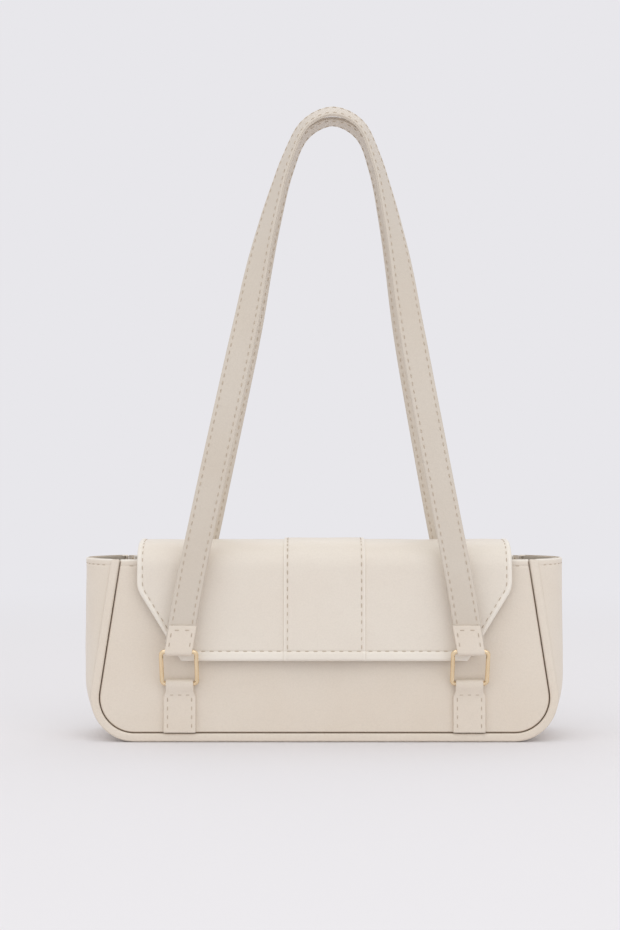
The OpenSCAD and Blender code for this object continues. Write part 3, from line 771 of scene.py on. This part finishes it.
def flapPath(s):
    # side view of the flap's inner face: up the back panel, round the fold, over the mouth and down the front
    angle = np.radians(s["rise"])
    rise = np.array([-np.cos(angle), np.sin(angle)])
    start = np.array(s["hinge"]) + s["foldOut"]*rise - s["foldIn"]*np.array([rise[1], -rise[0]])
    tailFoot, tailTop = onBack(s["tailLow"], s["backGap"]), onBack(body["height"], s["backGap"])
    up = unit(tailTop - tailFoot)
    low = np.array([onFront(0, s["edgeZ"], s["lowGap"])[1], s["edgeZ"]])
    bend = np.array([-(body["mouthDepth"]/2 + s["topGap"]), s["bendZ"]])
    slope = (low[0] - bend[0])/(low[1] - bend[1])
    backPull, frontPull = s["crownPulls"]
    intoBend = bend + s["frontDrop"]*np.array([slope, 1])
    pull = s["foldPull"]
    p = np.concatenate([
        np.linspace(tailFoot, tailTop, 20),
        bezier([tailTop, tailTop + pull*up, start - pull*rise, start], 10)[1:],
        bezier([start, start + s["risePull"]*rise, backPull, s["crown"]], 40)[1:],
        bezier([s["crown"], frontPull, intoBend, bend], 40)[1:],
        np.linspace(bend, low, 40)[1:]])
    return np.stack([0*p[:, 0], p[:, 0], p[:, 1]], 1)


def flapHalfWidth(z, s):
    # half width of the flap in front view: straight, a rounded turn, a diagonal, a rounded low corner
    def corner(a, p, b, r):
        # arc of radius r that rounds the corner at p between the directions of a and b
        a, p, b = (np.asarray(q, float) for q in (a, p, b))
        u, w = unit(a - p), unit(b - p)
        half = np.arccos(u @ w)/2
        c = p + unit(u + w)*r/np.sin(half)
        first, last = p + u*r/np.tan(half) - c, p + w*r/np.tan(half) - c
        t = np.linspace(0, 1, 16)[:, None]
        return c + unit((1 - t)*first + t*last)*r
    past, far = s["edgeZ"] - 1, 200.0  # the outline ends a little below the flap's edge and well above it
    top, turn = (s["width"]/2, far), (s["width"]/2, s["turnZ"])
    low, mid = (s["frontWidth"]/2, past), (0.0, past)
    line = np.concatenate([[top], corner(top, turn, low, s["turnRadius"]),
                           corner(turn, low, mid, s["lowRadius"])])[::-1]
    keep = np.concatenate([[True], np.diff(line[:, 1]) > 1e-6])
    return np.interp(z, line[keep, 1], line[keep, 0])


def flapStations(s):
    # rows along the flap: its path, the outward normal in side view, and the half width at each row
    path, run = resample(flapPath(s), s["step"])
    length = run[-1]
    rows = np.concatenate([clustered([0, 0.2, 0.5, 0.9, 1.4, 2.0, 2.8, 3.8], length, 110),
                           length - np.array([5.0, 5.5, 5.8, 6.1, 6.4, 6.8, 7.4])])
    rows = np.unique(np.round(rows, 3))
    at = readOff(rows, run, path)
    d = unit(readOff(rows, run, np.gradient(path, axis=0)))
    normal = np.stack([0*rows, d[:, 2], -d[:, 1]], 1)
    isFront = at[:, 1] < s["crown"][0] - 2
    half = np.where(isFront, flapHalfWidth(at[:, 2], s), s["width"]/2)
    return rows, at, normal, half, length


rows, flapAt, flapNormal, flapHalf, flapLength = flapStations(flapSettings)
flapBorder = np.concatenate([np.stack([flapHalf, rows], 1), np.stack([-flapHalf, rows], 1)[::-1],
                             [[flapHalf[0], 0]]])


def onFlap(x, offset):
    # a point of the flap: x along the bag, its row, and a distance outside the inner face
    p = flapAt[:, None] + flapNormal[:, None]*np.asarray(offset)[..., None]
    p[..., 0] = x
    return p


def flapRelief(x, s, sign=0):
    # relief on the flat leather: a fuller lip outside the stitching, a furrow along it, a faint wave;
    # sign is 1 for the right side leather, -1 for the left one and 0 for the strip
    grid = np.stack([x, np.broadcast_to(rows[:, None], x.shape)], -1)
    inset = insetOf(grid, flapBorder)
    inner = flapLength - grid[..., 1] - s["lowStitch"]
    if sign:
        inner = np.minimum(insetOf(grid, np.stack([sign*flapHalf, rows], 1)) - s["sideStitch"], inner)
    lip = s["lip"]*smooth(0.1, -1.4, inner)*smooth(0, 1.2, inset)
    wave = ripple(x, grid[..., 1], 3, s["waveSize"])*s["wave"]*smooth(0, 12, inner)
    return inset, inner, lip + groove(inner, s["furrowWidth"], s["furrow"]) + wave


def flapSide(name, sign, s=flapSettings):
    # one side leather, from under the strip to the flap's rim: two faces that meet in a half round rim
    under = s["seamUnder"]
    width = s["width"]/2 - under
    u = clustered([0, 0.15, 0.35, 0.6, 1.0, 1.5, 2.1, 2.7, 3.1, 3.5, 3.9, 4.4, 5.2, 6.5], width, 50)/width
    u = np.unique(np.round(u, 5))
    x = sign*(under + (flapHalf[:, None] - under)*u[None])
    inset, inner, relief = flapRelief(x, s, sign)
    half = (s["thick"] - 0.1)/2
    drop = rimDrop(inset, half + 0.05)*(half/(half + 0.05))
    outer = onFlap(x, s["thick"] - drop + relief*smooth(0, 1.5, inset))
    lower = onFlap(x, 0.1 + drop)
    # paler on the lip below the low stitching and along the rim: partly the turned edge's own tone, partly a
    # painted highlight where the lip faces up into the light
    edge = smooth(0.5, -0.6, inner)*0.8 + (1 - smooth(0, 1.6, inset))*0.2
    nodes = ("flap_right_panel", "flap_tail") if sign > 0 else ("flap_left_panel",)
    dress(shell(name, outer, lower, edge=edge), flapLeatherPaintedLight, "fold", "cream_leather", *nodes)


flapSide("flapRight", 1)
flapSide("flapLeft", -1)


def flapStrip(s=flapSettings):
    # the strip lies on both side leathers, its long edges rounded, and turns in over the lip
    w = s["stripWidth"]/2
    u = clustered([0, 0.12, 0.3, 0.6, 1.0, 1.6, 2.0, 2.3, 2.6, 3.0, 3.6, 5.0], 2*w, 24) - w
    x = np.broadcast_to(u[None], (len(rows), len(u))).copy()
    _, inner, relief = flapRelief(x, s)
    gap = np.minimum(w - np.abs(x), np.minimum(rows[:, None], flapLength - rows[:, None]))
    base = s["thick"] + 0.02
    endDrop = rimDrop(np.minimum(rows, flapLength - rows)[:, None] + 0*x, 1.6)
    seam = groove(w - np.abs(x) - s["stripStitch"], s["furrowWidth"], s["stripFurrow"])
    top = base + s["stripThick"] - rimDrop(w - np.abs(x), 0.55) - endDrop + relief + seam
    # paler round the strip's rim and on the lip: partly the edges' own tone, partly a painted highlight
    edge = (1 - smooth(0.2, 1.2, gap))*0.8 + smooth(0.5, -0.6, inner)*0.5
    obj = shell("flapStrip", onFlap(x, top), onFlap(x, base - 0.6 - 0*x), edge=np.clip(edge, 0, 1))
    dress(obj, flapLeatherPaintedLight, "fold", "cream_leather", "flap_center_strip")


flapStrip()


def flapLining(s=flapSettings):
    # smooth leather lining, sewn in a little inside the flap's rim, from above the tail to the low edge
    margin = s["liningInset"]
    first = np.argmin(np.abs(rows - s["liningStart"]))
    u = clustered([0, 0.3, 0.7, 1.2, 2.0, 3.0], s["width"], 60)/(s["width"]/2) - 1
    x = (flapHalf[:, None] - margin)*u[None]
    inset = insetOf(np.stack([x, rows[:, None] + 0*x], -1), flapBorder) - margin
    inset = np.minimum(inset, rows[:, None] - rows[first])
    keep = (np.arange(len(rows)) >= first) & (flapLength - rows > margin)
    face, back = onFlap(x, -0.35 + rimDrop(inset, 0.45)), onFlap(x, 0.12 + 0*x)
    # paler round the lining's rim: partly the edge's own tone, partly a painted highlight
    obj = shell("flapLining", face[keep], back[keep], edge=(1 - smooth(0, 1.0, inset))[keep])
    dress(obj, bodyLeather, "fold", "cream_leather", "flap_lining")


flapLining()


def flapStitches(s=flapSettings):
    # along the sides and the low edge, across the tail, and down both edges of the strip
    def line(x, run, offset):
        normal = readOff(run, rows, flapNormal)
        p = readOff(run, rows, flapAt) + normal*np.asarray(offset)[..., None]
        p[:, 0] = x
        return p, normal

    step, half = s["stitchStep"], s["stripWidth"]/2
    lowRun = flapLength - s["lowStitch"]
    over = s["thick"] + s["stripThick"]
    run = np.arange(s["stitchFrom"], lowRun, step)
    reach = np.interp(run, rows, flapHalf)
    sideX = reach - s["sideStitch"]*np.sqrt(1 + np.gradient(reach, run)**2)
    across = np.arange(half + 0.5, np.interp(lowRun, run, sideX), step)
    stripRun = np.arange(s["stitchFrom"], flapLength - 1.0, step)
    middle = np.arange(-half + 1, half - 1, step)
    tail = np.arange(-sideX[0], sideX[0], step)
    tailFace = np.where(np.abs(tail) < half - 0.3, over, s["thick"]) - 0.1
    face = s["thick"] - s["stitchSunk"]
    lines = [line(middle, lowRun + 0*middle, over - s["stitchSunk"]),
             line(tail, s["tailStitch"] + 0*tail, tailFace)]
    for sign in (1, -1):
        lines.append(line(sign*sideX, run, face))
        lines.append(line(sign*across, lowRun + 0*across, face))
        lines.append(line(sign*(half - s["stripStitch"]), stripRun, over - s["stripSunk"]))
    return stitches("flapStitching", lines)


dress(flapStitches(), threadMaterial, "fold", "cream_leather")
print("flap ready")


# rings, the tabs that hold them, and the folded ends of the straps

ringSettings = {"span": 177.6, "wire": 1.3, "width": 21.4, "height": 23.0, "corner": 2.2, "lean": 27.0,
                "pivotV": 36.0, "pivotH": 2.7, "sides": 20}
pivot = onFront(ringSettings["span"]/2, ringSettings["pivotV"], ringSettings["pivotH"])
ringLean = np.radians(ringSettings["lean"])
ringUp = np.array([0, -np.sin(ringLean), np.cos(ringLean)])
bar = pivot + ringSettings["height"]*ringUp


def ringWire(s=ringSettings):
    # a circle carried round a rounded rectangle that stands on the tab's pivot
    a = np.linspace(0, np.pi/2, 9)
    w, h, r = s["width"]/2, s["height"], s["corner"]
    path = []
    for k, (x, z) in enumerate(((w - r, h - r), (-w + r, h - r), (-w + r, r), (w - r, r))):
        path.append(np.stack([x + r*np.cos(a + k*np.pi/2), z + r*np.sin(a + k*np.pi/2)], 1))
    flat = np.concatenate(path)
    closed = np.concatenate([flat, flat[:1]])
    dense = np.concatenate([np.linspace(p, q, 5, endpoint=False) for p, q in zip(closed[:-1], closed[1:])])
    tangent = unit(np.roll(dense, -1, 0) - np.roll(dense, 1, 0))
    across = np.stack([tangent[:, 1], -tangent[:, 0]], 1)
    t = np.arange(s["sides"])*2*np.pi/s["sides"]
    inPlane = dense[:, None] + across[:, None]*(s["wire"]*np.cos(t))[None, :, None]
    thick = np.broadcast_to(s["wire"]*np.sin(t)[None], inPlane.shape[:2])
    side = np.array([1.0, 0, 0])
    return pivot + inPlane[..., :1]*side + inPlane[..., 1:]*ringUp + thick[..., None]*np.cross(side, ringUp)


def loopRibbon(path, width, thick, outSide, edgeRadius=0.45):
    # a flat ribbon of changing width along a path in a plane of constant x; its edges are rounded;
    # outSide, 1 or -1, says on which side of the path its outer face lies
    tangent = unit(np.gradient(path, axis=0))
    side = np.broadcast_to([1.0, 0, 0], path.shape)
    normal = np.cross(tangent, side)*outSide
    base = roundedBar(1.0, -thick/2, thick/2, min(edgeRadius, thick/2 - 0.05))
    section = np.broadcast_to(base, (len(path),) + base.shape).copy()
    reach = np.sign(base[:, 0])
    section[..., 0] = (width[:, None]/2 - 1.0)*reach[None] + base[None, :, 0]
    return path[:, None] + side[:, None]*section[..., :1] + normal[:, None]*section[..., 1:]


tabSettings = {
    "foot": 5.9, "thick": 1.2, "wide": 19.6, "narrow": 16.8, "turnLow": 27.5, "turnHigh": 32.0,
    "under": 0.7, "over": 1.95, "radius": 2.0, "steps": 40, "turnSteps": 25, "flatFrom": 22,
    "fall": [(34.5, 4.55), (32.6, 3.9), (30.4, 2.95), (28.0, 2.2), (25.5, 1.97)],  # the outer ply, [v, h]
    "row": 29.0, "rowFrom": 7.5, "sideStitch": 7.4,
}


def tabPath(s=tabSettings):
    # up the panel, round the ring's bar, and down again over itself; [v, h]
    v0, h0 = ringSettings["pivotV"], ringSettings["pivotH"]
    a = np.radians(np.linspace(-90, 90, s["turnSteps"]))
    arc = np.stack([v0 + s["radius"]*np.cos(a), h0 + s["radius"]*np.sin(a)], 1)
    back = np.stack([np.linspace(s["foot"], v0 - 0.5, s["steps"]), np.full(s["steps"], s["under"])], 1)
    points = [(v0, h0 + s["radius"])] + s["fall"] + [(s["flatFrom"], s["over"])]
    down = spline(points, np.linspace(0, len(points) - 1, s["steps"]))[1:]
    foot = np.linspace(s["flatFrom"], s["foot"], 20)[1:]
    return np.concatenate([back, arc, down, np.stack([foot, s["over"] + 0*foot], 1)])


def tabParts(s=tabSettings):
    # the ribbon's rings and its three stitch lines: a row across and one down each side
    flat, middle = tabPath(s), ringSettings["span"]/2
    path = onFront(middle, flat[:, 0], flat[:, 1])
    width = s["wide"] + (s["narrow"] - s["wide"])*smooth(s["turnLow"], s["turnHigh"], flat[:, 0])
    rings = loopRibbon(path, width, s["thick"], 1)
    outer = flat[s["steps"] + s["turnSteps"] - 1:][::-1]
    v = np.arange(s["rowFrom"], s["row"], 0.4)
    h = np.interp(v, outer[:, 0], outer[:, 1]) + s["thick"]/2 - 0.05
    x = np.arange(-s["sideStitch"], s["sideStitch"] + 0.1, 0.3)
    lines = [onFront(middle + x, s["row"] + 0*x, h[-1] + 0*x)]
    lines += [onFront(middle + sx*s["sideStitch"], v, h) for sx in (1, -1)]
    return rings, [(p, np.broadcast_to([0, -leanCos, leanSin], p.shape)) for p in lines]


loopSettings = {"thick": 1.1, "width": 16.6, "height": 16.0, "arm": 1.8, "radius": 1.95, "swell": 0.15,
                "stitch": 6.3, "row": 13.2, "rowFrom": 1.5}


def loopParts(lean, s=loopSettings):
    # down in front, round under the ring's upper bar, and up behind; the whole leans with the strap
    a = np.radians(np.linspace(180, 360, 25))
    arc = s["radius"]*np.stack([np.cos(a), np.sin(a)], 1)
    z = np.linspace(s["height"], 0.4, 36)
    y = -(s["arm"] + s["swell"]*np.sin(np.clip(1 - z/5, 0, 1)*np.pi/2))
    flat = np.concatenate([np.stack([y, z], 1), arc, np.stack([-y, z], 1)[::-1]])
    path = bar + np.stack([-lean*np.maximum(flat[:, 1], 0)/s["height"], flat[:, 0], flat[:, 1]], 1)
    rings = loopRibbon(path, np.full(len(path), s["width"]), s["thick"], -1)
    x = np.arange(-s["stitch"], s["stitch"] + 0.1, 0.3)
    v = np.arange(s["rowFrom"], s["row"], 0.4)
    face = -(s["arm"] + s["thick"]/2)
    low = face - 0.12*np.clip(1 - v/5, 0, 1)
    lines = [np.stack([x - lean*s["row"]/s["height"], face + 0*x, s["row"] + 0*x], 1)]
    lines += [np.stack([sx*s["stitch"] - lean*v/s["height"], low, v], 1) for sx in (1, -1)]
    return rings, [(bar + p, np.broadcast_to([0, -1.0, 0], p.shape)) for p in lines]


# handles: two layers of leather sewn together, turning from the rings to the top of the arch

handleSettings = {"width": 16.6, "layer": 1.1, "startGap": 1.2, "sway": 5.5, "topY": -4.0, "upright": 0.04,
                  "power": 1.6, "steps": 420, "stitch": 6.0, "stitchFrom": 0.012, "parting": 0.03,
                  "puff": 0.22, "furrowWidth": 0.5, "furrow": 0.12}
handleLeg = np.array([
    [1, 0], [0.921, 0.12], [0.832, 0.24], [0.743, 0.36], [0.654, 0.48], [0.567, 0.60], [0.488, 0.72],
    [0.402, 0.825], [0.312, 0.91], [0.195, 0.975], [0, 1]])  # share of the half span, share of the rise
lowTurn = [[0, 0], [0.045, 0], [0.15, 4], [0.3, 8], [0.45, 14], [0.55, 29], [0.65, 50]]
handles = {  # height of the top, and the strap's turn in degrees against its share of the way up
    "front": {"top": 392.5, "turn": lowTurn + [[0.75, 65], [0.85, 70], [1, 64]]},
    "back": {"top": 387.5, "turn": lowTurn + [[0.75, 66], [0.85, 77], [1, 86]]},
}
legStart = bar + [0, 0, ringSettings["wire"] + handleSettings["layer"] + handleSettings["startGap"]]


def handlePath(spec, share, s=handleSettings):
    # centreline: a smooth arch in front view that leans back towards the middle of the bag as it rises
    points = np.concatenate([handleLeg*[-1, 1], handleLeg[-2::-1]])
    p = spline(points, share*(len(points) - 1))
    leaning = (np.maximum(p[:, 1] - s["upright"], 0)/(1 - s["upright"]))**s["power"]
    return np.stack([p[:, 0]*legStart[0] + s["sway"]*leaning,
                     legStart[1] + (s["topY"] - legStart[1])*leaning,
                     legStart[2] + p[:, 1]*(spec["top"] - legStart[2])], 1)


def handleFrame(spec, share):
    # directions across the strap and out of it, turned by the table from ring to top
    reach = 0.004
    t = unit(handlePath(spec, np.minimum(share + reach, 1)) - handlePath(spec, np.maximum(share - reach, 0)))
    away = unit(np.cross(t, [0, 1.0, 0]))
    a = np.radians(np.interp(1 - np.abs(2*share - 1), *np.array(spec["turn"]).T))[:, None]
    w = np.cos(a)*away + np.sin(a)*np.cross(away, t)
    return w, np.cross(w, t)


def strapParts(spec, s=handleSettings):
    # rings of both layers and the stitch lines of both faces; each layer is fullest between its stitches
    share = np.linspace(0, 1, s["steps"] + 1)
    p = handlePath(spec, share)
    w, n = handleFrame(spec, share)
    half = s["width"]/2
    x = np.concatenate([[-half, -half + 0.1, -half + 0.35], np.linspace(-half + 0.9, half - 0.9, 15),
                        [half - 0.35, half - 0.1, half]])
    flat = np.array([0.3, 0.62, 0.88] + [1.0]*15 + [0.88, 0.62, 0.3])
    puff = s["puff"]*(np.cos(np.clip(x/s["stitch"], -1, 1)*np.pi)*0.5 + 0.5)
    puff = puff + groove(np.abs(x) - s["stitch"], s["furrowWidth"], s["furrow"])
    section = np.concatenate([s["parting"] + s["layer"]*flat + puff*0.6, [0.02, 0.02]])
    x = np.concatenate([x, [half - 0.1, -half + 0.1]])
    layers = [p[:, None] + w[:, None]*x[:, None] + n[:, None]*(sign*section)[:, None] for sign in (-1, 1)]
    cover = (share > s["stitchFrom"]) & (share < 1 - s["stitchFrom"])
    face = s["parting"] + s["layer"] - 0.02
    lines = [((p + w*sx*s["stitch"] + n*sign*face)[cover], (n*sign)[cover])
             for sign in (-1, 1) for sx in (-1, 1)]
    return layers, lines


def mirrorLines(lines, axis):
    # stitch lines, points and normals, on the other side
    return [(mirrored(p, axis), mirrored(n, axis)) for p, n in lines]


def sidePieces(name, behind):
    # both rings, tabs and loops and the handle of one side of the bag; returns the tabs' stitch lines
    spec, handleBody = handles[name], name + "_handle"
    lean = (loopSettings["height"]*legStart[0]*(handleLeg[0, 0] - handleLeg[1, 0])
            /(handleLeg[1, 1]*(spec["top"] - legStart[2])))
    tab, tabLines = tabParts()
    loop, loopLines = loopParts(lean)
    layers, strapLines = strapParts(spec)
    ring = ringWire()
    if behind:
        tab, loop, ring = (mirrored(g, 1) for g in (tab, loop, ring))
        layers = [mirrored(g, 1) for g in layers]
        tabLines, loopLines, strapLines = (mirrorLines(g, 1) for g in (tabLines, loopLines, strapLines))
    sewn = []
    for word in ("right", "left"):
        if word == "left":
            tab, loop, ring = (mirrored(g, 0) for g in (tab, loop, ring))
            tabLines, loopLines = (mirrorLines(g, 0) for g in (tabLines, loopLines))
        piece = name + word.capitalize()
        wire = np.concatenate([ring, ring[:1]])
        dress(tubeSurface(piece + "Ring", wire, capped=False), goldMaterial, f"{name}_{word}_link",
              "gold_metal", f"{name}_ring_{word}")
        dress(tubeSurface(piece + "Tab", tab), bodyLeather, "bag_body", "cream_leather",
              f"{name}_tab_{word}")
        dress(tubeSurface(piece + "Loop", loop), bodyLeather, handleBody, "cream_leather",
              f"{name}_loop_{word}")
        sewn += tabLines
        strapLines += loopLines
    for layer, rings in zip(("Face", "Backing"), layers):
        dress(tubeSurface(name + "Strap" + layer, rings), strapLeatherPaintedShade, handleBody, "cream_leather",
              name + "_strap_" + layer.lower())
    dress(stitches(name + "StrapStitching", strapLines), threadMaterial, handleBody, "cream_leather")
    return sewn


bodyLines = hemLines + pocketLines + sidePieces("front", False) + sidePieces("back", True)
dress(stitches("bodyStitching", bodyLines), threadMaterial, "bag_body", "cream_leather")
print("rings and handles ready")

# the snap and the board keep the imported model's own meshes
for node in ("snap_socket", "snap_socket_plate", "snap_stud", "snap_stud_plate", "base_board"):
    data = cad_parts[node].data
    data.materials.clear()
    data.materials.append(boardMaterial if node == "base_board" else goldMaterial)


# studio: a pale floor that fades into the background, soft light

stageSettings = {
    "floor": (233, 231, 234), "back": (232, 231, 235), "fadeFrom": 0.5, "fadeTo": 1.5, "reach": 6000.0,
    "world": 0.80, "aim": (0, 0, 0.12),
    "lamps": {  # place, power and width, in metres and watts
        "key": ((-0.4, -0.9, 1.9), 10.5, 2.6), "fill": ((0.9, -1.3, 0.9), 2.5, 1.2),
        "rim": ((0.2, 1.3, 1.5), 2.5, 1.4)},
}


def studioWorld(s):
    # an even light; the camera and polished metal see the background's colour instead
    r = Recipe(bpy.data.worlds.new("studio"))
    rays = seen = r.add("ShaderNodeLightPath")
    for ray in ("Is Glossy Ray", "Is Transmission Ray"):
        seen = r.math("MAXIMUM", seen, Wire(r, rays.socket.node.outputs[ray]))
    light = r.add("ShaderNodeBackground", sockets={"Color": (1, 1, 1, 1), "Strength": s["world"]})
    shown = r.add("ShaderNodeBackground", sockets={"Color": tone(*s["back"]), "Strength": 1.0})
    both = r.add("ShaderNodeMixShader", sockets={0: seen, 1: light, 2: shown})
    bpy.context.scene.world = r.output(both, "ShaderNodeOutputWorld")


def studioFloor(s):
    # a large square of paper that turns into the background's glow with distance
    reach = s["reach"]
    points = np.array([[-reach, -reach, 0], [reach, -reach, 0], [reach, reach, 0], [-reach, reach, 0]])
    floor = meshObject("floor", points, np.array([[0, 1, 2, 3]]))
    r = Recipe(bpy.data.materials.new("floor_paper"))
    at = r.add("ShaderNodeTexCoord", out="Object")
    far = r.add("ShaderNodeVectorMath", {"operation": "LENGTH"}, {0: at}, out="Value")
    fade = r.add("ShaderNodeMapRange", {"interpolation_type": "SMOOTHSTEP"}, {
        "Value": far, "From Min": s["fadeFrom"], "From Max": s["fadeTo"]})
    paper = r.add("ShaderNodeBsdfDiffuse", sockets={"Color": tone(*s["floor"])})
    glow = r.add("ShaderNodeEmission", sockets={"Color": tone(*s["back"]), "Strength": 1.0})
    floor.data.materials.append(r.output(r.add("ShaderNodeMixShader", sockets={0: fade, 1: paper, 2: glow})))


def studioLamps(s):
    # square area lamps that face the bag
    for name, (place, power, width) in s["lamps"].items():
        data = bpy.data.lights.new(name, "AREA")
        data.size, data.energy = width, power
        lamp = bpy.data.objects.new(name, data)
        lamp.location = place
        away = np.array(place) - s["aim"]
        lamp.rotation_euler = (np.arctan2(np.hypot(*away[:2]), away[2]), 0, np.arctan2(away[0], -away[1]))
        bpy.context.scene.collection.objects.link(lamp)


studioWorld(stageSettings)
studioFloor(stageSettings)
studioLamps(stageSettings)
bpy.context.scene.view_settings.view_transform = "Standard"
print("stage ready")
